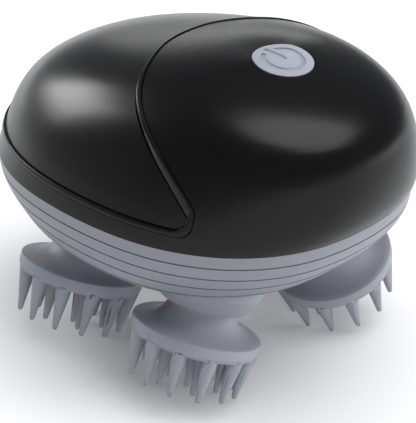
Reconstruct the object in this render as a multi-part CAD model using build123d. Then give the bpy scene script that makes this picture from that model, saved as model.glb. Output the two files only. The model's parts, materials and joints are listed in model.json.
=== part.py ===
from build123d import *
import math
import os

# Electric scalp massager: a pebble body on four splayed rotating heads.
# Millimetres, +Z up, z = 0 is the table under the bristle tips, -Y is the button end.

# body outline at the seam between the two housings
seam_z = 48.2
seam_half_x = 43.9
seam_front_y = -51.6
seam_rear_y = 54.8
seam_power = 2.31
crown_power = 2.0
outline_points = 24

# dome stations above the seam: height, half width, front y, rear y
dome_stations = [
    (0.0, 43.9, -51.6, 54.8),
    (9.0, 41.0, -55.2, 53.3),
    (17.3, 37.4, -55.5, 47.8),
    (24.5, 32.7, -52.4, 34.8),
    (30.0, 25.2, -42.0, 14.9),
    (33.5, 14.0, -28.3, -3.8),
    (34.5, 4.9, -23.8, -15.3),
]

# bowl stations below the seam: depth, inset of the half width, inset of both ends
bowl_stations = [
    (0.0, 0.0, 0.0),
    (3.2, 0.2, 0.4),
    (6.8, 1.0, 2.0),
    (10.7, 2.6, 5.2),
    (14.5, 4.6, 9.2),
    (16.6, 7.0, 12.0),
    (17.5, 11.0, 16.0),
]
line_width = 0.4
line_depth = 0.35

upper_wall = 2.8
lower_wall = 2.2

# seam joint
tongue_height = 1.6
tongue_wall = 1.2
tongue_gap = 0.9
gasket_height = 0.8
gasket_play = 0.12

# rear panel and the raised bead round it
panel_thickness = 1.0
panel_inset = 0.4
bead_proud = 0.25
skin_gap = 0.2
bead_low = 3.7
bead_height = 1.5
front_wall_y = -31.5
shell_edge = [(0.0, 5.4), (9.0, 4.1), (17.5, 0.3), (25.6, -5.0), (30.9, -10.8), (34.2, -19.0), (35.1, -31.5)]
panel_edge = [(0.0, 5.8), (9.0, 4.8), (17.2, 1.4), (26.5, -3.9), (31.9, -10.3), (35.0, -18.8), (35.8, -30.0)]
corner_radius = 3.0

# power button
button_y = -24.8
button_z = 82.3
button_lean = 10.9
button_radius = 7.2
button_gap = 0.35
button_flange = 1.1
button_flange_height = 0.8
button_travel = 0.6
button_stem_radius = 1.6
button_flange_top = 4.6
collar_radius = 8.8
collar_wall = 1.4
collar_low = 7.4
seal_ring_height = 1.0
soft_gap = 0.3
stem_play = 0.05
symbol_radius = 4.6
symbol_width = 1.2
symbol_depth = 0.3
symbol_break = 1.7
symbol_bar_low = -0.7
symbol_bar_high = 6.0

# circuit board under the button
board_depth = 12.4
board_x = 30.0
board_y = 22.0
board_thickness = 1.6
board_post_radius = 2.2
board_screw_x = 12.4
board_screw_y = 8.4
switch_size = 6.0
switch_height = 3.4
switch_knob_radius = 1.7
switch_knob_height = 1.2
chip_size = 7.0
chip_height = 1.0

# heads
head_x = 23.8
head_y = 20.5
head_z = 18.52
head_splay = 21.3
disc_radius = 15.9
rim_height = 3.3
neck_radius = 8.1
neck_top = 7.4
bristle_tip = 14.48
bristle_root_radius = 1.35
bristle_tip_radius = 0.72
bristle_chamfer = 0.3
bristle_rings = [(12, 14.0, 3.0), (6, 8.6, 0.0), (3, 3.4, 0.0)]
hub_radius = 5.2
hub_flange_radius = 11.0
hub_flange_thickness = 1.4
hub_floor = 1.6

# drive shafts, bushes and seals
shaft_radius = 2.0
running_gap = 0.05
shaft_low = -0.4
shaft_top = 43.4
boss_low = 6.7
boss_low_radius = 11.1
boss_top_radius = 13.4
boss_flare = 4.2
boss_throat_gap = 1.3
boss_throat_depth = 2.8
seal_radius = 4.6
seal_height = 2.6
seal_lip = 1.2
bush_radius = 3.5
bush_length = 4.0
bush_wall = 2.4

# worm drive, one start
module = 0.9
wheel_teeth = 20
wheel_face = 3.0
wheel_hub_radius = 4.2
wheel_hub_length = 3.0
tooth_thickness = 0.95
tooth_addendum = 0.75
tooth_dedendum = 1.05
worm_pitch_radius = 2.6
worm_tip_radius = 3.4
worm_core_radius = 1.6
worm_turns = 4
pressure_angle = 20.0

# motor
motor_radius = 8.0
motor_length = 20.0
motor_wall = 0.8
motor_cap_thickness = 1.6
rotor_shaft_radius = 1.0
rotor_shaft_length = 63.0
armature_radius = 5.4
armature_length = 10.0
magnet_gap = 0.5
magnet_sweep = 130.0

# gearbox frame and cover
frame_low = 37.0
frame_thickness = 2.4
frame_half_x = 26.0
frame_half_y = 34.0
frame_ear_x = 30.6
frame_ear_y = 8.0
shaft_window_radius = 4.2
saddle_thickness = 3.0
saddle_place = 6.0
post_half_x = 4.0
post_thickness = 3.0
column_x = 22.4
column_y = 30.4
column_radius = 3.0
cover_low = 59.4
cover_thickness = 2.2
cover_half_x = 26.0
cover_half_y = 34.0

# battery
battery_x = 34.0
battery_y = 40.0
battery_z = 7.0
battery_place_y = 12.0
tray_wall = 1.2
tray_gap = 0.3
tray_rim = 1.5

# charging socket at the rear
socket_width = 9.0
socket_height = 3.3
socket_length = 7.4
socket_wall = 0.4
socket_tongue_width = 6.6
socket_tongue_height = 0.7
socket_z = 43.2
socket_recess = 0.6
socket_gap = 0.2
charge_board_x = 15.0
charge_board_y = 9.5
charge_board_thickness = 1.2
charge_board_play = 1.2
ledge_half_x = 6.0
ledge_length = 7.0

# screws
screw_radius = 1.25
screw_head_radius = 2.4
screw_head_height = 1.6
screw_bite = 5.0
screw_recess = 9.0
board_screw_bite = 4.2
post_gap = 0.2
standoff_radius = 3.2
pilot_radius = 1.27
screw_clearance = 0.25
shell_screw_places = [(34.8, 1.6), (-34.8, 1.6), (0.0, -38.2), (13.5, 41.0), (-13.5, 41.0)]
frame_screw_places = [(28.0, 5.0), (-28.0, 5.0), (28.0, -5.0), (-28.0, -5.0)]

# wires
lead_radius = 0.5
lead_bend = 3.0
lead_gap = 0.25
charge_lead_radius = 0.6
charge_lead_bend = 3.6
motor_lead_x = 2.5
motor_lead_y = -11.7
battery_lead_x = 7.0
battery_lead_pitch = 1.6
battery_lead_z = 65.4
lead_window = 1.5

# worked out
splay = math.radians(head_splay)
lean = math.radians(button_lean)
bowl_depth = bowl_stations[-1][0]
floor_low = seam_z - bowl_depth
frame_top = frame_low + frame_thickness
wheel_radius = module * wheel_teeth / 2
centre_distance = wheel_radius + worm_pitch_radius
axial_pitch = math.pi * module
worm_z = head_z + (head_x * math.cos(splay) - centre_distance) / math.sin(splay)
wheel_place = head_x * math.sin(splay) + (worm_z - head_z) * math.cos(splay)
upper_bush_low = shaft_top - bush_length
lower_bush_low = boss_low + boss_throat_depth + seal_height
cover_top = cover_low + cover_thickness
tray_top = cover_top + tray_wall
upper_post_low = seam_z + tongue_height + 0.6
screw_seat = floor_low + screw_recess
board_under = -board_depth - board_thickness
switch_top = -board_depth + switch_height + switch_knob_height
charge_board_z = socket_z - socket_height / 2
board_screw_signs = [(-1, -1), (1, -1), (-1, 1), (1, 1)]
right_phase = 180 - 2 * head_splay
right_turn = -math.degrees(axial_pitch * right_phase / 360 / wheel_radius)
HEADS = {"front_left": (-1, -1), "front_right": (1, -1), "rear_left": (-1, 1), "rear_right": (1, 1)}


def outline(half_x, front_y, rear_y, power, z):
    """A flat superelliptic face at height z."""
    middle = (front_y + rear_y) / 2
    half_y = (rear_y - front_y) / 2
    points = []
    for k in range(outline_points):
        turn = 2 * math.pi * k / outline_points
        c = math.cos(turn)
        s = math.sin(turn)
        x = half_x * math.copysign(abs(c) ** (2 / power), c)
        y = middle + half_y * math.copysign(abs(s) ** (2 / power), s)
        points.append((x, y, z))
    steps = [k / outline_points for k in range(outline_points + 1)]
    return make_face(Edge.make_spline(points, periodic=True, parameters=steps))


def dome(inset):
    """The solid dome above the seam, its skin moved inwards by inset."""
    top = dome_stations[-1][0]
    sections = []
    for height, half_x, front_y, rear_y in dome_stations:
        share = height / top
        power = seam_power + (crown_power - seam_power) * share
        z = seam_z + height - inset * share
        pinch = min(inset, half_x - 1.0)
        sections.append(outline(half_x - pinch, front_y + pinch, rear_y - pinch, power, z))
    return loft(sections)


def bowl(inset):
    """The solid bowl below the seam, its skin moved inwards by inset."""
    sections = []
    for depth, inset_x, inset_y in bowl_stations:
        share = depth / bowl_depth
        front_y = seam_front_y + inset_y + inset
        rear_y = seam_rear_y - inset_y - inset
        z = seam_z - depth + inset * share
        sections.append(outline(seam_half_x - inset_x - inset, front_y, rear_y, seam_power, z))
    return loft(sections)


def seam_ring(outer_inset, inner_inset, low, high):
    """A flat ring that follows the seam, between two insets."""
    outer = outline(seam_half_x - outer_inset, seam_front_y + outer_inset, seam_rear_y - outer_inset,
                    seam_power, low)
    inner = outline(seam_half_x - inner_inset, seam_front_y + inner_inset, seam_rear_y - inner_inset,
                    seam_power, low)
    return extrude(outer - inner, high - low)


def pole(radius, low, high, x=0.0, y=0.0):
    """An upright round bar."""
    return Pos(x, y, (low + high) / 2) * Cylinder(radius, high - low)


def block(x_low, x_high, y_low, y_high, z_low, z_high):
    """A box from its corners."""
    middle = Pos((x_low + x_high) / 2, (y_low + y_high) / 2, (z_low + z_high) / 2)
    return middle * Box(x_high - x_low, y_high - y_low, z_high - z_low)


def screw(length):
    """A pan-head screw, its head resting on z = 0 with the shank below."""
    return pole(screw_head_radius, 0, screw_head_height) + pole(screw_radius, -length, 0)


def one_node(pieces):
    """Several separate solids kept as one node."""
    return Compound([solid for piece in pieces for solid in piece.solids()])


def rear_wall_y(z):
    """The y of the bowl's rear wall at height z."""
    depth = seam_z - z
    for (d0, x0, y0), (d1, x1, y1) in zip(bowl_stations, bowl_stations[1:]):
        if depth <= d1:
            return seam_rear_y - y0 - (y1 - y0) * (depth - d0) / (d1 - d0)
    return seam_rear_y - bowl_stations[-1][2]


def racetrack(width, height, y_low, y_high):
    """A bar along Y with round ends, at the height of the charging socket."""
    face = Plane(origin=(0, y_high, socket_z), x_dir=(1, 0, 0), z_dir=(0, -1, 0)) * SlotOverall(width, height)
    return extrude(face, y_high - y_low)


def wire(points, radius, bend):
    """A wire of straight runs joined by arcs."""
    path = FilletPolyline(*points, radius=bend)
    section = Plane(origin=path @ 0, z_dir=path % 0) * Circle(radius)
    return sweep(section, path=path)


socket_mouth_y = rear_wall_y(socket_z) - socket_recess
charge_board_rear_y = rear_wall_y(charge_board_z - charge_board_thickness) - lower_wall - charge_board_play


# ---------------------------------------------------------------- casing


def panel_zone(edge, wall_y, low, gap):
    """All the space behind an edge curve and above a height, a gap further back, with round lower corners."""
    right = [(x * (1 + gap / edge[-1][0]), y + gap) for x, y in edge]
    left = [(-x, y) for x, y in reversed(right)]
    curve = Spline(*(left + right[1:]))
    reach = 80.0
    low = low + gap
    wall_y = wall_y + gap
    x_end = right[-1][0]
    rest = Polyline((x_end, wall_y), (reach, wall_y), (reach, reach), (-reach, reach), (-reach, wall_y),
                    (-x_end, wall_y))
    plan = make_face([curve, rest])
    zone = extrude(Pos(0, 0, low) * plan, reach)
    corners = [e for e in zone.edges().filter_by(Axis.X)
               if abs(e.center().Z - low) < 0.01 and abs(e.center().Y - wall_y) < 0.01]
    return fillet(corners, corner_radius)


bead_top = seam_z + bead_low + bead_height
bead_hole = panel_zone(shell_edge, front_wall_y, seam_z + bead_low, 0.0)
bead_zone = panel_zone(shell_edge, front_wall_y, seam_z + bead_low, skin_gap)
leaf_hole = panel_zone(panel_edge, panel_edge[-1][1], bead_top, 0.0)
leaf_zone = panel_zone(panel_edge, panel_edge[-1][1], bead_top, skin_gap)
recess_depth = panel_inset + panel_thickness
dome_outer = dome(0)
dome_floor = dome(recess_depth)
dome_seat = dome(recess_depth - skin_gap)
dome_inner = dome(upper_wall)


def button_axis():
    """The place and lean of the button: its z axis points out of the dome."""
    return Plane(origin=(0, button_y, button_z), x_dir=(1, 0, 0), z_dir=(0, -math.sin(lean), math.cos(lean)))


def make_rear_panel():
    skin = dome(panel_inset) - dome_seat
    return skin & leaf_zone


def make_trim_bead():
    skin = dome(-bead_proud) - dome_seat
    return (skin & bead_zone) - leaf_hole


def shell_posts():
    """Screw posts inside the upper shell, bored for their screws and running up into the dome."""
    posts = Part()
    for x, y in shell_screw_places:
        posts += pole(standoff_radius, upper_post_low, seam_z + 60, x, y)
        posts -= pole(pilot_radius, seam_z, upper_post_low + screw_bite + 0.5, x, y)
    return posts


def board_posts():
    """Screw posts for the circuit board and a collar round the button, square to the button."""
    posts = pole(collar_radius + collar_wall, -collar_low, 20) - pole(collar_radius, -30, 30)
    for sx, sy in board_screw_signs:
        x = sx * board_screw_x
        y = sy * board_screw_y
        posts += pole(board_post_radius, -board_depth, 20, x, y)
        posts -= pole(pilot_radius, -board_depth - 1, -board_depth + board_screw_bite + 0.4, x, y)
    return button_axis().location * posts


def make_upper_shell():
    shell = dome_outer - (bead_hole - dome_floor)
    shell -= button_axis().location * pole(button_radius + button_gap, -8, 6)
    return shell - (dome_inner - shell_posts() - board_posts())


def make_lower_housing():
    shell = bowl(0)
    for depth, inset_x, inset_y in bowl_stations[1:5]:
        shell -= groove_line(depth, inset_x, inset_y)
    for sx, sy in HEADS.values():
        shell += head_place(sx, sy) * boss_outside()
    shell -= (bowl(lower_wall) - housing_posts()) + block(-80, 80, -80, 80, seam_z, seam_z + 40)
    tongue_inset = upper_wall + tongue_gap
    shell += seam_ring(tongue_inset, tongue_inset + tongue_wall, seam_z - 3.0, seam_z + tongue_height)
    shell += seam_ring(lower_wall - 0.4, tongue_inset + tongue_wall, seam_z - 3.0, seam_z - gasket_height)
    for x, y in shell_screw_places:
        shell += pole(standoff_radius + 0.4, seam_z - 6, upper_post_low - post_gap, x, y)
        shell -= pole(screw_radius + screw_clearance, floor_low - 1, seam_z + 10, x, y)
        shell -= pole(screw_head_radius + screw_clearance, floor_low - 1, screw_seat, x, y)
    for x, y in frame_screw_places:
        shell -= pole(pilot_radius, frame_low - screw_bite - 0.5, frame_low + 0.1, x, y)
    for sx, sy in HEADS.values():
        shell -= head_place(sx, sy) * boss_inside()
    width = socket_width + 2 * socket_gap
    height = socket_height + 2 * socket_gap
    return shell - racetrack(width, height, socket_mouth_y - socket_length - 2, socket_mouth_y + 5)


def housing_posts():
    """What stands inside the bowl: screw posts, bush tubes and the ledge of the charging board."""
    posts = block(-ledge_half_x, ledge_half_x, charge_board_rear_y - ledge_length, seam_rear_y + 5,
                  floor_low - 5, charge_board_z - charge_board_thickness)
    for x, y in shell_screw_places:
        posts += pole(standoff_radius + 0.4, floor_low - 5, seam_z + 5, x, y)
    for x, y in frame_screw_places:
        posts += pole(standoff_radius, floor_low - 5, frame_low, x, y)
    for sx, sy in HEADS.values():
        posts += head_place(sx, sy) * pole(bush_radius + bush_wall, 0, lower_bush_low + bush_length)
    return posts


def groove_line(depth, inset_x, inset_y):
    """A fine line cut round the bowl at one depth."""
    low = seam_z - depth - line_width / 2
    front_y = seam_front_y + inset_y
    rear_y = seam_rear_y - inset_y
    half_x = seam_half_x - inset_x
    outside = outline(half_x + 2, front_y - 2, rear_y + 2, seam_power, low)
    inside = outline(half_x - line_depth, front_y + line_depth, rear_y - line_depth, seam_power, low)
    return extrude(outside - inside, line_width)


def make_shell_gasket():
    inner_inset = upper_wall + tongue_gap - gasket_play / 2
    return seam_ring(lower_wall + gasket_play, inner_inset, seam_z - gasket_height, seam_z)


# ---------------------------------------------------------------- heads


def head_place(sx, sy):
    """Local frame of a head: z runs up its shaft, x points at the worm."""
    axis = (-sx * math.sin(splay), 0, math.cos(splay))
    inward = (-sx * math.cos(splay), 0, -math.sin(splay))
    return Plane(origin=(sx * head_x, sy * head_y, head_z), x_dir=inward, z_dir=axis).location


def boss_outside():
    """The flared boss under the bowl, in the head's frame."""
    flare = Cone(boss_low_radius, boss_top_radius, boss_flare)
    return Pos(0, 0, boss_low + boss_flare / 2) * flare + pole(boss_top_radius, boss_low + boss_flare, 22)


def boss_inside():
    """What is bored out of the boss: throat, seal pocket and bush pocket."""
    throat = pole(neck_radius + boss_throat_gap, boss_low - 1, boss_low + boss_throat_depth)
    seal = pole(seal_radius, boss_low, lower_bush_low)
    bush = pole(bush_radius, boss_low, lower_bush_low + bush_length + 1)
    return throat + seal + bush


def bristle():
    """A tapered bristle with a chamfered tip, its root at z = 0."""
    length = bristle_tip - rim_height
    taper = length - bristle_chamfer
    cone = Pos(0, 0, 0.4 - taper / 2 - 0.2) * Cone(bristle_tip_radius, bristle_root_radius, taper + 0.4)
    tip = Cone(bristle_tip_radius - bristle_chamfer, bristle_tip_radius, bristle_chamfer)
    return cone + Pos(0, 0, -length + bristle_chamfer / 2) * tip


def head_core_shape():
    """The rigid hub inside a head."""
    stem = pole(hub_radius, -hub_floor, neck_top)
    flange = pole(hub_flange_radius, -hub_floor, -hub_floor + hub_flange_thickness)
    return stem + flange


def head_body():
    """Neck, flared disc and rim of a soft head, without bristles."""
    neck = Line((0, neck_top), (neck_radius, neck_top))
    straight = Line(neck @ 1, (neck_radius, neck_top - 2.2))
    flare = Spline((neck_radius, neck_top - 2.2), (9.2, 3.0), (11.6, 1.1), (disc_radius - 0.8, 0.0),
                   tangents=((0, -1), (1, -0.12)))
    edge = ThreePointArc((disc_radius - 0.8, 0.0), (disc_radius - 0.2, -0.35), (disc_radius, -1.0))
    side = Line(edge @ 1, (disc_radius, -rim_height + 0.5))
    under = Line(side @ 1, (disc_radius - 0.5, -rim_height))
    base = Line(under @ 1, (0, -rim_height))
    middle = Line(base @ 1, (0, neck_top))
    return revolve(Plane.XZ * make_face([neck, straight, flare, edge, side, under, base, middle]), Axis.Z)


def make_massage_head():
    head = head_body()
    pin = bristle()
    for count, radius, tilt in bristle_rings:
        for k in range(count):
            head += Rot(0, 0, 360 * k / count) * Pos(radius, 0, -rim_height) * Rot(0, tilt, 0) * pin
    return head - head_core_shape()


def make_head_hub():
    return head_core_shape() - shaft_bar(shaft_radius)


def shaft_bar(radius):
    """The drive shaft, with a flat where the hub grips it."""
    bar = pole(radius, shaft_low, shaft_top)
    return bar - block(radius * 0.75, radius * 2, -5, 5, shaft_low - 1, neck_top - 0.6)


def make_lower_bush():
    return pole(bush_radius, lower_bush_low,
                lower_bush_low + bush_length) - pole(shaft_radius + running_gap, 0, 60)


def make_upper_bush():
    return pole(bush_radius, upper_bush_low, shaft_top) - pole(shaft_radius + running_gap, 0, 60)


def make_shaft_seal():
    low = lower_bush_low - seal_height
    ring = pole(seal_radius, low, lower_bush_low)
    hollow = pole(seal_radius - 1.0, low - 1, lower_bush_low - seal_lip)
    return ring - hollow - pole(shaft_radius + running_gap, 0, 60)


def make_worm_wheel(turn):
    """A worm wheel with a tooth gap that faces the worm, turned by an angle in degrees."""
    root_radius = wheel_radius - tooth_dedendum
    tip_radius = wheel_radius + tooth_addendum
    stations = [(root_radius - 0.5, 0.68), (root_radius, 0.66), (wheel_radius, tooth_thickness / 2),
                (tip_radius, 0.2)]
    profile = [(r, half) for r, half in stations] + [(r, -half) for r, half in reversed(stations)]
    tooth = extrude(make_face(Polyline(*profile, close=True)), wheel_face)
    wheel = pole(root_radius, 0, wheel_face)
    for k in range(wheel_teeth):
        wheel += Rot(0, 0, 360 * (k + 0.5) / wheel_teeth) * tooth
    wheel += pole(wheel_hub_radius, -wheel_hub_length, 0)
    wheel -= pole(shaft_radius, -20, 20)
    return Pos(0, 0, wheel_place - wheel_face / 2) * Rot(0, 0, turn) * wheel


# ---------------------------------------------------------------- motor and worms


def motor_place():
    """Local frame of the motor: z runs along +Y."""
    return Plane(origin=(0, 0, worm_z), x_dir=(1, 0, 0), z_dir=(0, 1, 0)).location


def worm_place(sy):
    """Local frame of a worm: x points at the left-hand wheel."""
    outward = (-math.cos(splay), 0, math.sin(splay))
    return Plane(origin=(0, sy * head_y, worm_z), x_dir=outward, z_dir=(0, 1, 0)).location


def make_worm(left_hand):
    """A one-start worm on the rotor shaft, with its thread on local +x at z = 0."""
    length = worm_turns * axial_pitch
    slope = math.tan(math.radians(pressure_angle))
    half = tooth_thickness / 2
    sunk = worm_core_radius - 0.4
    low_half = half + (worm_pitch_radius - sunk) * slope
    top_half = half - (worm_tip_radius - worm_pitch_radius) * slope
    path = Helix(axial_pitch, length, worm_pitch_radius, lefthand=left_hand)
    cut = Plane(origin=(0, 0, 0), x_dir=(1, 0, 0), z_dir=(0, -1, 0))
    shape = Polyline((sunk, -low_half), (worm_tip_radius, -top_half), (worm_tip_radius, top_half), (sunk,
                                                                                                    low_half), close=True)
    thread = sweep(cut * make_face(shape), path=path, is_frenet=True)
    core = pole(worm_core_radius, -1.6, length + 1.6)
    body = core + thread - pole(rotor_shaft_radius, -5, length + 5)
    return Pos(0, 0, -length / 2) * body


def make_rotor_shaft():
    return motor_place() * Cylinder(rotor_shaft_radius, rotor_shaft_length)


def make_armature():
    slots = Part()
    for k in range(3):
        slots += Rot(0, 0, 120 * k + 60) * Pos(armature_radius, 0, 0) * Box(3.2, 1.6, armature_length)
    core = Cylinder(armature_radius, armature_length) - slots - Cylinder(rotor_shaft_radius, 40)
    return motor_place() * core


def make_motor_can():
    can = Cylinder(motor_radius, motor_length)
    can -= Pos(0, 0, -motor_wall) * Cylinder(motor_radius - motor_wall, motor_length)
    can -= Cylinder(rotor_shaft_radius + running_gap, 60)
    return motor_place() * can


def make_motor_end_cap():
    low = -motor_length / 2
    cap = pole(motor_radius - motor_wall, low, low + motor_cap_thickness)
    cap -= Cylinder(rotor_shaft_radius + running_gap, 60)
    return motor_place() * cap


def make_motor_magnets():
    outer = motor_radius - motor_wall
    inner = armature_radius + magnet_gap
    tile = Cylinder(outer, armature_length + 3) - Cylinder(inner, armature_length + 5)
    pieces = []
    for turn in (0, 180):
        wedge = extrude(make_face(sector(outer + 2, magnet_sweep)), armature_length + 5)
        wedge = Rot(0, 0, turn - magnet_sweep / 2) * Pos(0, 0, -(armature_length + 5) / 2) * wedge
        pieces.append(motor_place() * (tile & wedge))
    return one_node(pieces)


def sector(radius, sweep_angle):
    """The outline of a pie slice from local +x."""
    end = math.radians(sweep_angle)
    half = end / 2
    start_line = Line((0, 0), (radius, 0))
    arc = ThreePointArc((radius, 0), (radius * math.cos(half), radius * math.sin(half)),
                        (radius * math.cos(end), radius * math.sin(end)))
    return [start_line, arc, Line(arc @ 1, (0, 0))]


# ---------------------------------------------------------------- gearbox


def make_gear_frame():
    frame = block(-frame_half_x, frame_half_x, -frame_half_y, frame_half_y, frame_low, frame_top)
    frame += block(-frame_ear_x, frame_ear_x, -frame_ear_y, frame_ear_y, frame_low, frame_top)
    for side in (-1, 1):
        y = side * saddle_place
        frame += block(-motor_radius, motor_radius, y - saddle_thickness / 2, y + saddle_thickness / 2,
                       frame_top - 0.2, worm_z - 2)
        end = side * (rotor_shaft_length / 2 - post_thickness / 2)
        frame += block(-post_half_x, post_half_x, end - post_thickness / 2, end + post_thickness / 2,
                       frame_top - 0.2, worm_z + post_half_x)
    for x in (-column_x, column_x):
        for y in (-column_y, column_y):
            frame += pole(column_radius, frame_top - 0.2, cover_low, x, y)
            frame -= pole(pilot_radius, cover_low - screw_bite, cover_low + 1, x, y)
    frame -= motor_place() * Cylinder(motor_radius + 0.02, motor_length + 2)
    frame -= motor_place() * Cylinder(rotor_shaft_radius + running_gap, 90)
    for sx, sy in HEADS.values():
        frame -= head_place(sx, sy) * pole(shaft_window_radius, 0, 26)
    for x, y in frame_screw_places:
        frame -= pole(screw_radius + screw_clearance, frame_low - 1, frame_top + 1, x, y)
    return frame


def make_gear_cover():
    cover = block(-cover_half_x, cover_half_x, -cover_half_y, cover_half_y, cover_low,
                  cover_low + cover_thickness)
    for sx, sy in HEADS.values():
        tube = pole(bush_radius + 1.6, upper_bush_low - 0.4, shaft_top + 4)
        under = block(-60, 60, -60, 60, 0, cover_low + cover_thickness)
        cover += (head_place(sx, sy) * tube) & under
        cover -= head_place(sx, sy) * pole(bush_radius, 0, shaft_top)
    window_x = motor_lead_x + lead_window
    cover -= block(-window_x, window_x, motor_lead_y - lead_window, motor_lead_y + lead_window,
                   cover_low - 1, cover_top + 1)
    for x in (-column_x, column_x):
        for y in (-column_y, column_y):
            cover -= pole(screw_radius + screw_clearance, cover_low - 1, cover_low + 5, x, y)
    return cover


# ---------------------------------------------------------------- electrics


def power_symbol():
    """The broken ring and bar, as a prism about the button's axis."""
    outer = symbol_radius + symbol_width / 2
    ring = pole(outer, -3, 3) - pole(outer - symbol_width, -4, 4)
    ring -= block(-symbol_break, symbol_break, 0, outer + 2, -4, 4)
    return ring + block(-symbol_width / 2, symbol_width / 2, symbol_bar_low, symbol_bar_high, -3, 3)


def make_power_button():
    """The cap follows the dome over its whole face, with a flange and a stem below."""
    place = button_axis().location
    flange_low = -button_flange_top - button_flange_height
    cap = (place * pole(button_radius, flange_low, 6)) & dome_outer
    cap -= (place * power_symbol()) - dome(symbol_depth)
    flange = pole(button_radius + button_flange, flange_low, -button_flange_top)
    stem = pole(button_stem_radius, switch_top + button_travel + stem_play, flange_low)
    return cap + place * (flange + stem)


def make_button_seal():
    """A soft disc in the foot of the collar, with a hole for the button's stem."""
    disc = pole(collar_radius, -collar_low, -collar_low + seal_ring_height)
    return button_axis().location * (disc - pole(button_stem_radius + soft_gap, -20, 0))


def make_circuit_board():
    board = block(-board_x / 2, board_x / 2, -board_y / 2, board_y / 2, board_under, -board_depth)
    for sx, sy in board_screw_signs:
        board -= pole(screw_radius + screw_clearance, -20, 0, sx * board_screw_x, sy * board_screw_y)
    return button_axis().location * board


def make_tact_switch():
    half = switch_size / 2
    body = block(-half, half, -half, half, -board_depth, -board_depth + switch_height)
    return button_axis().location * (body + pole(switch_knob_radius, -board_depth, switch_top))


def make_controller_chip():
    half = chip_size / 2
    return button_axis().location * block(-half, half, -half, half, board_under - chip_height, board_under)


def make_battery_cell():
    cell = block(-battery_x / 2, battery_x / 2, battery_place_y - battery_y / 2,
                 battery_place_y + battery_y / 2,
                 tray_top, tray_top + battery_z)
    return fillet(cell.edges().filter_by(Axis.Y), battery_z * 0.3)


def make_battery_tray():
    half_x = battery_x / 2 + tray_gap
    half_y = battery_y / 2 + tray_gap
    low_y = battery_place_y - half_y
    high_y = battery_place_y + half_y
    tray = block(-half_x - tray_wall, half_x + tray_wall, low_y - tray_wall, high_y + tray_wall,
                 cover_top, tray_top + tray_rim)
    return tray - block(-half_x, half_x, low_y, high_y, tray_top, tray_top + 20)


def make_charging_socket():
    """A metal sleeve with a closed back, and the contact tongue inside it."""
    back = socket_mouth_y - socket_length
    sleeve = racetrack(socket_width, socket_height, back, socket_mouth_y)
    sleeve -= racetrack(socket_width - 2 * socket_wall, socket_height - 2 * socket_wall, back + 1,
                        socket_mouth_y + 1)
    half_x = socket_tongue_width / 2
    half_z = socket_tongue_height / 2
    return sleeve + block(-half_x, half_x, back + 0.5, socket_mouth_y - 0.8, socket_z - half_z,
                          socket_z + half_z)


def make_charging_board():
    half_x = charge_board_x / 2
    low_y = charge_board_rear_y - charge_board_y
    return block(-half_x, half_x, low_y, charge_board_rear_y, charge_board_z - charge_board_thickness,
                 charge_board_z)


def under_board(x, y):
    """A point just under the circuit board, from local x and y."""
    spot = (button_axis().location * Pos(x, y, board_under)).position
    return (spot.X, spot.Y, spot.Z - lead_gap)


def make_motor_leads():
    leads = []
    for x in (-motor_lead_x, motor_lead_x):
        end = under_board(x, 8.0)
        start = (x, -motor_length / 2, worm_z + 4.5)
        points = [start, (x, motor_lead_y - 1.3, start[2]), (x, motor_lead_y, 60.0), (x, end[1],
                                                                                      end[2] - 5), end]
        leads.append(wire(points, lead_radius, 1.6))
    return one_node(leads)


def make_battery_leads():
    leads = []
    for k in (0, 1):
        end = under_board(battery_lead_x + k * battery_lead_pitch, 7.0)
        points = [(end[0], battery_place_y - battery_y / 2, battery_lead_z), (end[0], end[1],
                                                                              battery_lead_z), end]
        leads.append(wire(points, lead_radius, lead_bend))
    return one_node(leads)


def make_charge_lead():
    end = under_board(10.4, 0.0)
    side_x = battery_x / 2 + tray_gap + tray_wall + 1.3
    points = [(4.0, charge_board_rear_y - 8.0, charge_board_z + lead_gap), (4.0, 38.4, 51.0), (8.0, 36.6,
                                                                                               60.0),
              (side_x, 36.2, 64.6), (side_x, -12.0, 65.2), (end[0], end[1], 63.6), end]
    return wire(points, charge_lead_radius, charge_lead_bend)


# ---------------------------------------------------------------- fasteners


def make_shell_screws():
    length = upper_post_low + screw_bite - screw_seat
    return one_node(Pos(x, y, screw_seat) * Rot(180, 0, 0) * screw(length) for x, y in shell_screw_places)


def make_frame_screws():
    length = frame_thickness + screw_bite
    return one_node(Pos(x, y, frame_top) * screw(length) for x, y in frame_screw_places)


def make_cover_screws():
    length = cover_thickness + screw_bite - 0.4
    places = [(x, y) for x in (-column_x, column_x) for y in (-column_y, column_y)]
    return one_node(Pos(x, y, cover_top) * screw(length) for x, y in places)


def make_board_screws():
    place = button_axis().location
    length = board_thickness + board_screw_bite
    return one_node(place * Pos(sx * board_screw_x, sy * board_screw_y, board_under) * Rot(180, 0,
                                                                                           0) * screw(length)
                    for sx, sy in board_screw_signs)


# ---------------------------------------------------------------- the nodes

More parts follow.
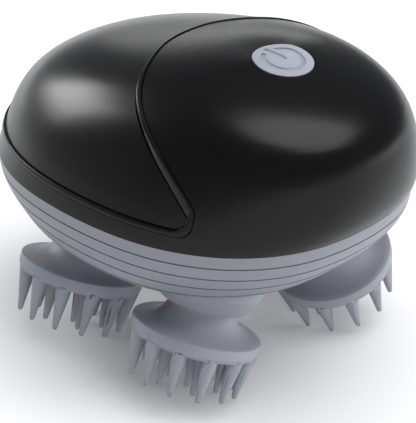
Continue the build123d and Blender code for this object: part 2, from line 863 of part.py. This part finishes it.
nodes = {
    "upper_shell": make_upper_shell(),
    "rear_panel": make_rear_panel(),
    "trim_bead": make_trim_bead(),
    "lower_housing": make_lower_housing(),
    "shell_gasket": make_shell_gasket(),
    "power_button": make_power_button(),
    "button_seal": make_button_seal(),
    "tact_switch": make_tact_switch(),
    "circuit_board": make_circuit_board(),
    "controller_chip": make_controller_chip(),
    "battery_cell": make_battery_cell(),
    "battery_tray": make_battery_tray(),
    "battery_leads": make_battery_leads(),
    "charging_socket": make_charging_socket(),
    "charging_board": make_charging_board(),
    "charging_lead": make_charge_lead(),
    "motor_can": make_motor_can(),
    "motor_end_cap": make_motor_end_cap(),
    "motor_magnets": make_motor_magnets(),
    "motor_leads": make_motor_leads(),
    "rotor_shaft": make_rotor_shaft(),
    "armature": make_armature(),
    "front_worm": worm_place(-1) * make_worm(False),
    "rear_worm": worm_place(1) * make_worm(False),
    "gear_frame": make_gear_frame(),
    "gear_cover": make_gear_cover(),
    "shell_screws": make_shell_screws(),
    "frame_screws": make_frame_screws(),
    "cover_screws": make_cover_screws(),
    "board_screws": make_board_screws(),
}

head_pieces = {
    "massage_head": make_massage_head(),
    "head_hub": make_head_hub(),
    "drive_shaft": shaft_bar(shaft_radius),
    "lower_bush": make_lower_bush(),
    "upper_bush": make_upper_bush(),
    "shaft_seal": make_shaft_seal(),
}
left_wheel = make_worm_wheel(0)
right_wheel = make_worm_wheel(right_turn)

for side, (sx, sy) in HEADS.items():
    place = head_place(sx, sy)
    for piece, shape in head_pieces.items():
        nodes[side + "_" + piece] = place * shape
    nodes[side + "_worm_wheel"] = place * (left_wheel if sx < 0 else right_wheel)

# the origin is the middle of the footprint
shell_box = nodes["upper_shell"].bounding_box()
to_origin = Pos(0, -(shell_box.min.Y + shell_box.max.Y) / 2, 0)

os.makedirs("parts", exist_ok=True)
for name, shape in nodes.items():
    export_step(to_origin * shape, "parts/" + name + ".step")
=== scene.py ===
import json
import math
import bpy
from mathutils import Matrix, Vector


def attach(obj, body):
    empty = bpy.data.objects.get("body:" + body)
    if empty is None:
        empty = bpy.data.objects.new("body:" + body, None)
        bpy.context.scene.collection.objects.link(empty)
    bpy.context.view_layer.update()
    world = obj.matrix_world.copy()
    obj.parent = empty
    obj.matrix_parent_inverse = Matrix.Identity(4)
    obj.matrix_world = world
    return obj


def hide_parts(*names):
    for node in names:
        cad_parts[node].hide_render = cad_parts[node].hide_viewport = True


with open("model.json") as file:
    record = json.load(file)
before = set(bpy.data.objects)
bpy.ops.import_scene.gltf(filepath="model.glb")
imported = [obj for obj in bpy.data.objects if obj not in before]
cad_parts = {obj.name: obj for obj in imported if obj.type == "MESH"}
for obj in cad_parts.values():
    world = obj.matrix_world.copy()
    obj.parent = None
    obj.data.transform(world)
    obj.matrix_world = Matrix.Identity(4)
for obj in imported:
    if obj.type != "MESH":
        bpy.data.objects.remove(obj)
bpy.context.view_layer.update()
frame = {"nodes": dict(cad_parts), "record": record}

mm = 0.001


# finishes of the object, built from nodes on Object coordinates

grainDepth = 0.02  # mm


def newFinish(name, colour, roughness):
    material = bpy.data.materials.new(name)
    material.use_nodes = True
    shader = material.node_tree.nodes["Principled BSDF"]
    shader.inputs["Base Color"].default_value = (*colour, 1)
    shader.inputs["Roughness"].default_value = roughness
    material.diffuse_color = (*colour, 1)
    return material, material.node_tree, shader


def noiseOn(tree, scale, detail):
    place = tree.nodes.new("ShaderNodeTexCoord")
    noise = tree.nodes.new("ShaderNodeTexNoise")
    noise.inputs["Scale"].default_value = scale
    noise.inputs["Detail"].default_value = detail
    tree.links.new(place.outputs["Object"], noise.inputs["Vector"])
    return noise


def varyRoughness(tree, shader, noise, low, high):
    spread = tree.nodes.new("ShaderNodeMapRange")
    spread.inputs["To Min"].default_value = low
    spread.inputs["To Max"].default_value = high
    tree.links.new(noise.outputs["Fac"], spread.inputs["Value"])
    tree.links.new(spread.outputs["Result"], shader.inputs["Roughness"])


def varyColour(tree, shader, noise, dark, light):
    ramp = tree.nodes.new("ShaderNodeValToRGB")
    ramp.color_ramp.elements[0].position = 0.3
    ramp.color_ramp.elements[0].color = (*dark, 1)
    ramp.color_ramp.elements[1].position = 0.7
    ramp.color_ramp.elements[1].color = (*light, 1)
    tree.links.new(noise.outputs["Fac"], ramp.inputs["Fac"])
    tree.links.new(ramp.outputs["Color"], shader.inputs["Base Color"])


def addGrain(tree, shader, noise, strength):
    bump = tree.nodes.new("ShaderNodeBump")
    bump.inputs["Strength"].default_value = strength
    bump.inputs["Distance"].default_value = grainDepth * mm
    tree.links.new(noise.outputs["Fac"], bump.inputs["Height"])
    tree.links.new(bump.outputs["Normal"], shader.inputs["Normal"])


plasticWear = {"detail": 3.0, "roughnessSpread": 0.03}


def mouldedPlastic(name, look):
    material, tree, shader = newFinish(name, look["colour"], look["roughness"])
    grain = noiseOn(tree, look["grainScale"], plasticWear["detail"])
    cloud = noiseOn(tree, look["cloudScale"], plasticWear["detail"])
    dark = [c * (1 - look["mottle"]) for c in look["colour"]]
    light = [c * (1 + look["mottle"]) for c in look["colour"]]
    spread = plasticWear["roughnessSpread"]
    varyColour(tree, shader, cloud, dark, light)
    varyRoughness(tree, shader, cloud, look["roughness"] - spread, look["roughness"] + spread)
    addGrain(tree, shader, grain, look["grain"])
    shader.inputs["Specular IOR Level"].default_value = look.get("specular", 0.5)
    return material


metalWear = {"detail": 4.0, "smoother": 0.06, "rougher": 0.1, "grain": 0.12}


def metal(name, look):
    material, tree, shader = newFinish(name, look["colour"], look["roughness"])
    shader.inputs["Metallic"].default_value = 1.0
    tooling = noiseOn(tree, look["scale"], metalWear["detail"])
    varyRoughness(tree, shader, tooling, look["roughness"] - metalWear["smoother"],
                  look["roughness"] + metalWear["rougher"])
    addGrain(tree, shader, tooling, metalWear["grain"])
    return material


shellLook = {"colour": (0.002, 0.002, 0.0022), "roughness": 0.27, "grainScale": 4200, "cloudScale": 60,
             "mottle": 0.12, "grain": 0.08, "specular": 0.26}
panelLook = {"colour": (0.0022, 0.0022, 0.0024), "roughness": 0.29, "grainScale": 4200, "cloudScale": 60,
             "mottle": 0.12, "grain": 0.08, "specular": 0.28}
housingLook = {"colour": (0.178, 0.187, 0.214), "roughness": 0.44, "grainScale": 3200, "cloudScale": 45,
               "mottle": 0.03, "grain": 0.12}
buttonLook = {"colour": (0.33, 0.35, 0.41), "roughness": 0.38, "grainScale": 3600, "cloudScale": 80,
              "mottle": 0.03, "grain": 0.1}
headLook = {"colour": (0.2, 0.21, 0.242), "roughness": 0.5, "grainScale": 2600, "cloudScale": 70,
            "mottle": 0.04, "grain": 0.16}
nylonLook = {"colour": (0.72, 0.71, 0.66), "roughness": 0.45, "grainScale": 2400, "cloudScale": 60,
             "mottle": 0.03, "grain": 0.1}
frameLook = {"colour": (0.12, 0.125, 0.14), "roughness": 0.5, "grainScale": 2600, "cloudScale": 60,
             "mottle": 0.06, "grain": 0.15}
rubberLook = {"colour": (0.02, 0.02, 0.02), "roughness": 0.62, "grainScale": 2200, "cloudScale": 90,
              "mottle": 0.1, "grain": 0.2}
boardLook = {"colour": (0.012, 0.11, 0.045), "roughness": 0.35, "grainScale": 1600, "cloudScale": 240,
             "mottle": 0.25, "grain": 0.1}
wrapLook = {"colour": (0.35, 0.42, 0.5), "roughness": 0.3, "grainScale": 900, "cloudScale": 50,
            "mottle": 0.05, "grain": 0.25}
redLeadLook = {"colour": (0.42, 0.02, 0.02), "roughness": 0.4, "grainScale": 1800, "cloudScale": 120,
               "mottle": 0.06, "grain": 0.1}
sealLook = {"colour": (0.5, 0.5, 0.48), "roughness": 0.55, "grainScale": 2200, "cloudScale": 90,
            "mottle": 0.05, "grain": 0.15}

finishes = {
    "black_shell": mouldedPlastic("satinBlackShell", shellLook),
    "black_panel": mouldedPlastic("satinBlackPanel", panelLook),
    "grey_housing": mouldedPlastic("lavenderGreyHousing", housingLook),
    "grey_button": mouldedPlastic("paleGreyButton", buttonLook),
    "grey_silicone": mouldedPlastic("greySilicone", headLook),
    "white_nylon": mouldedPlastic("naturalNylon", nylonLook),
    "grey_frame": mouldedPlastic("darkMouldedFrame", frameLook),
    "black_seal": mouldedPlastic("blackSealRubber", rubberLook),
    "clear_seal": mouldedPlastic("paleSealRubber", sealLook),
    "chip_black": mouldedPlastic("blackChipPlastic", frameLook),
    "lead_black": mouldedPlastic("blackLeadSleeve", rubberLook),
    "lead_red": mouldedPlastic("redLeadSleeve", redLeadLook),
    "board_green": mouldedPlastic("greenCircuitBoard", boardLook),
    "battery_wrap": mouldedPlastic("batteryFoilWrap", wrapLook),
    "ground_steel": metal("groundSteel", {"colour": (0.6, 0.6, 0.61), "roughness": 0.25, "scale": 900}),
    "zinc_steel": metal("zincPlatedSteel", {"colour": (0.55, 0.56, 0.57), "roughness": 0.34, "scale": 700}),
    "worm_brass": metal("machinedBrass", {"colour": (0.72, 0.52, 0.22), "roughness": 0.28, "scale": 1200}),
    "bush_bronze": metal("sinteredBronze", {"colour": (0.45, 0.28, 0.14), "roughness": 0.5, "scale": 1800}),
    "armature_iron": metal("laminatedIron", {"colour": (0.3, 0.3, 0.31), "roughness": 0.45, "scale": 1400}),
    "magnet_iron": metal("ferriteMagnet", {"colour": (0.1, 0.1, 0.11), "roughness": 0.6, "scale": 1000}),
    "socket_steel": metal("platedSocketSteel", {"colour": (0.66, 0.66, 0.68), "roughness": 0.2,
                                                "scale": 800}),
}

slotOfNode = {part["node"]: part["material_slot"] for part in frame["record"]["subparts"]}
for node, piece in frame["nodes"].items():
    piece.data.materials.clear()
    piece.data.materials.append(finishes[slotOfNode[node]])
print("finishes on", len(slotOfNode), "nodes")


# the four soft heads, in mm from the middle of the disc's upper rim, with the turning axis upwards

headShape = {
    "names": ["front_left", "front_right", "rear_left", "rear_right"],
    "rimRadius": 15.9, "rimHeight": 3.3, "sides": 72,
    # the rim's lower edge: set in, cut back up to a height above a straight slice, and the flat band under it
    "edgeIn": 0.35, "edgeUp": 0.75, "baseSlice": 0.4, "underBand": 1.2,
    # radius and height of each ring from the rim up the flare to the neck
    "flare": [(15.9, -0.4), (15.84, -0.14), (15.66, 0.0), (14.4, 0.2), (12.9, 0.6), (11.6, 1.12), (10.5, 1.8),
              (9.6, 2.65), (8.9, 3.65), (8.35, 4.6), (8.1, 5.4), (8.1, 7.1), (7.8, 7.4)],
    # number, distance from the axis and outward lean of the bristles in each ring
    "bristleRings": [(12, 13.75, 3.0), (6, 8.6, 0.0), (3, 3.4, 0.0)],
    # radius of a bristle at shares of its length from the root to the start of its round tip
    "bristleLength": 11.3, "bristle": [(0.0, 2.05), (0.12, 1.92), (0.35, 1.6), (0.65, 1.15), (0.88, 0.82)],
    "rootInDisc": 0.8, "bristleSides": 16,
    # the round tip, with its rings at these degrees round it
    "tipRadius": 0.68, "tipRings": (0, 35, 65, 82),
    "smoothUnder": 40,
}


def startPiece():
    if bpy.context.object and bpy.context.object.mode != "OBJECT":
        bpy.ops.object.mode_set(mode="OBJECT")
    bpy.ops.object.select_all(action="DESELECT")


def pickFaces(piece, test):
    bpy.ops.object.mode_set(mode="OBJECT")
    for face in piece.data.polygons:
        face.select = test(face)
    bpy.ops.object.mode_set(mode="EDIT")


def pullOut(rise, grow):
    bpy.ops.mesh.extrude_region_move(TRANSFORM_OT_translate={"value": (0, 0, rise * mm)})
    bpy.ops.transform.resize(value=(grow, grow, 1))


def makeHeadBody(shape):
    startPiece()
    low = -shape["rimHeight"]
    radius = shape["rimRadius"] - shape["edgeIn"]
    height = low + shape["baseSlice"]
    bpy.ops.mesh.primitive_cylinder_add(vertices=shape["sides"], radius=radius * mm,
                                        depth=(height - low) * mm,
                                        location=(0, 0, (low + height) / 2 * mm))
    body = bpy.context.object
    bpy.ops.object.transform_apply(location=True)
    bpy.ops.object.mode_set(mode="EDIT")
    bpy.ops.mesh.select_mode(type="FACE")
    bpy.ops.mesh.select_all(action="DESELECT")
    pickFaces(body, lambda face: face.normal.z > 0.9)
    for nextRadius, nextHeight in [(shape["rimRadius"], low + shape["edgeUp"])] + shape["flare"]:
        pullOut(nextHeight - height, nextRadius / radius)
        radius, height = nextRadius, nextHeight
    pickFaces(body, lambda face: face.normal.z < -0.9)
    bpy.ops.mesh.inset(thickness=shape["underBand"] * mm, depth=0)
    bpy.ops.object.mode_set(mode="OBJECT")
    return body


def makeBristle(shape):
    startPiece()
    length = shape["bristleLength"] - shape["tipRadius"]
    radius = shape["bristle"][0][1]
    root = shape["rootInDisc"]
    bpy.ops.mesh.primitive_cylinder_add(vertices=shape["bristleSides"], radius=radius * mm, depth=root * mm,
                                        location=(0, 0, root / 2 * mm))
    bristle = bpy.context.object
    bpy.ops.object.transform_apply(location=True)
    bpy.ops.object.mode_set(mode="EDIT")
    bpy.ops.mesh.select_mode(type="FACE")
    pickFaces(bristle, lambda face: face.normal.z < -0.9)
    rings = [(share * length, wide) for share, wide in shape["bristle"][1:]]
    for step in shape["tipRings"]:
        turn = math.radians(step)
        rings.append((length + shape["tipRadius"] * math.sin(turn), shape["tipRadius"] * math.cos(turn)))
    reached = 0.0
    for depth, wide in rings:
        pullOut(reached - depth, wide / radius)
        reached, radius = depth, wide
    bpy.ops.object.mode_set(mode="OBJECT")
    return bristle


def placeBristles(bristle, shape):
    copies = []
    for count, radius, lean in shape["bristleRings"]:
        for k in range(count):
            twin = bristle.copy()
            twin.data = bristle.data.copy()
            bpy.context.collection.objects.link(twin)
            turn = Matrix.Rotation(2 * math.pi * k / count, 4, "Z")
            out = Matrix.Translation((radius * mm, 0, -shape["rimHeight"] * mm))
            twin.data.transform(turn @ out @ Matrix.Rotation(math.radians(lean), 4, "Y"))
            copies.append(twin)
    return copies


def headPlace(joint):
    axis = Vector(joint["axis"]).normalized()
    side = Vector((0, math.copysign(1, axis.x), 0))
    inward = side.cross(axis)
    turn = Matrix((inward, side, axis)).transposed().to_4x4()
    return Matrix.Translation(joint["pos_m"]) @ turn


def makeHeads(shape):
    body = makeHeadBody(shape)
    bristle = makeBristle(shape)
    tufts = placeBristles(bristle, shape)
    bpy.data.objects.remove(bristle)
    startPiece()
    for piece in tufts + [body]:
        piece.select_set(True)
    bpy.context.view_layer.objects.active = body
    bpy.ops.object.join()
    bpy.ops.object.mode_set(mode="EDIT")
    bpy.ops.mesh.select_all(action="SELECT")
    bpy.ops.mesh.normals_make_consistent(inside=False)
    bpy.ops.object.mode_set(mode="OBJECT")
    bpy.ops.object.shade_smooth_by_angle(angle=math.radians(shape["smoothUnder"]))
    joints = {joint["name"]: joint for joint in frame["record"]["behaviour"]["joints"]}
    for name in shape["names"]:
        head = body.copy()
        head.data = body.data.copy()
        head.name = name + "_soft_head"
        bpy.context.collection.objects.link(head)
        head.data.transform(headPlace(joints[name + "_spin"]))
        head.data.materials.clear()
        head.data.materials.append(finishes["grey_silicone"])
        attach(head, name + "_head")
        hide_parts(name + "_massage_head")
    bpy.data.objects.remove(body)
    print("four soft heads")


makeHeads(headShape)


# the raised bead round the rear panel, with its edges rounded (mm and degrees)

beadShape = {"join": 0.02, "flatten": 2, "edge": 0.3, "steps": 3, "sharperThan": 35, "smoothUnder": 50}


def makeRoundedBead(shape):
    startPiece()
    bead = bpy.data.objects.new("rounded_bead", frame["nodes"]["trim_bead"].data.copy())
    bpy.context.collection.objects.link(bead)
    bead.select_set(True)
    bpy.context.view_layer.objects.active = bead
    bpy.ops.object.mode_set(mode="EDIT")
    bpy.ops.mesh.select_all(action="SELECT")
    bpy.ops.mesh.remove_doubles(threshold=shape["join"] * mm)
    bpy.ops.mesh.dissolve_limited(angle_limit=math.radians(shape["flatten"]))
    bpy.ops.mesh.quads_convert_to_tris()
    bpy.ops.object.mode_set(mode="OBJECT")
    soften = bead.modifiers.new("softEdges", "BEVEL")
    soften.limit_method = "ANGLE"
    soften.angle_limit = math.radians(shape["sharperThan"])
    soften.width = shape["edge"] * mm
    soften.segments = shape["steps"]
    bpy.ops.object.modifier_apply(modifier="softEdges")
    bpy.ops.object.shade_smooth_by_angle(angle=math.radians(shape["smoothUnder"]))
    bead.data.materials.clear()
    bead.data.materials.append(finishes["black_shell"])
    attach(bead, "casing")
    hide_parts("trim_bead")
    print("rounded bead", len(bead.data.polygons), "faces")


makeRoundedBead(beadShape)


# camera: the point it looks at and its distance in mm, its angles in degrees

viewPoint = {"aim": (0.24, 0.193, 32.4), "azimuth": -45.15, "elevation": 29.18, "distance": 450,
             "lens": 152.7, "sensor": 36}


def placeCamera(view):
    turn = math.radians(view["azimuth"])
    rise = math.radians(view["elevation"])
    back = Vector((math.sin(turn) * math.cos(rise), -math.cos(turn) * math.cos(rise), math.sin(rise)))
    lens = bpy.data.cameras.new("mainCamera")
    lens.lens = view["lens"]
    lens.sensor_width = view["sensor"]
    lens.clip_start = 0.01
    camera = bpy.data.objects.new("mainCamera", lens)
    camera.location = (Vector(view["aim"]) + back * view["distance"]) * mm
    camera.rotation_euler = (math.pi / 2 - rise, 0, turn)
    bpy.context.collection.objects.link(camera)
    bpy.context.scene.camera = camera


floorLook = {"colour": (0.86, 0.865, 0.875), "roughness": 0.6, "size": 40.0}  # size in metres


def makeFloor(look):
    startPiece()
    bpy.ops.mesh.primitive_plane_add(size=look["size"], location=(0, 0, 0))
    floor = bpy.context.object
    floor.name = "paleFloor"
    material, tree, shader = newFinish("palePaper", look["colour"], look["roughness"])
    floor.data.materials.append(material)


studio = {
    "skyColour": (0.93, 0.95, 1.0), "sky": 0.22,
    # the big overhead soft light: where it comes from, its width in degrees and its strength
    "overheadFrom": (0.12, -0.24, 0.96), "overheadWidth": 54, "overhead": 2.4,
    # name, direction from the object, distance (m), width and height (m), watts, shows in gloss
    "boxes": [("rearLeftBox", (-0.19, 0.89, 0.44), 0.95, (0.5, 0.3), 4.6, True),
              ("rearRightBox", (0.68, 0.69, 0.26), 1.1, (0.5, 0.16), 0.5, True),
              ("frontFill", (-0.62, -0.75, 0.16), 1.0, (0.9, 0.35), 4.6, False),
              ("rightFill", (0.75, -0.66, 0.12), 0.9, (0.6, 0.35), 11.0, False),
              ("rearLowStrip", (0.38, 0.93, -0.01), 0.75, (0.7, 0.07), 0.4, True)],
    "overheadDistance": 1.5, "aimHeight": 45,  # metres, and mm above the floor
}


def hangLamp(lamp, name, place, aim, inGloss=True):
    holder = bpy.data.objects.new(name, lamp)
    holder.visible_glossy = inGloss
    holder.location = place
    holder.rotation_euler = (aim - place).to_track_quat("-Z", "Y").to_euler()
    bpy.context.collection.objects.link(holder)


def makeLights(setup):
    aim = Vector((0, 0, setup["aimHeight"] * mm))
    sun = bpy.data.lights.new("overheadSoft", "SUN")
    sun.angle = math.radians(setup["overheadWidth"])
    sun.energy = setup["overhead"]
    hangLamp(sun, "overheadSoft", Vector(setup["overheadFrom"]).normalized() * setup["overheadDistance"], aim)
    for name, side, distance, size, power, inGloss in setup["boxes"]:
        lamp = bpy.data.lights.new(name, "AREA")
        lamp.shape = "RECTANGLE"
        lamp.size, lamp.size_y = size
        lamp.energy = power
        hangLamp(lamp, name, Vector(side).normalized() * distance, aim, inGloss)
    sky = bpy.data.worlds.new("studioAir")
    sky.use_nodes = True
    sky.node_tree.nodes["Background"].inputs["Color"].default_value = (*setup["skyColour"], 1)
    sky.node_tree.nodes["Background"].inputs["Strength"].default_value = setup["sky"]
    bpy.context.scene.world = sky
    bpy.context.scene.view_settings.view_transform = "Standard"


placeCamera(viewPoint)
makeFloor(floorLook)
makeLights(studio)
print("camera and lights")
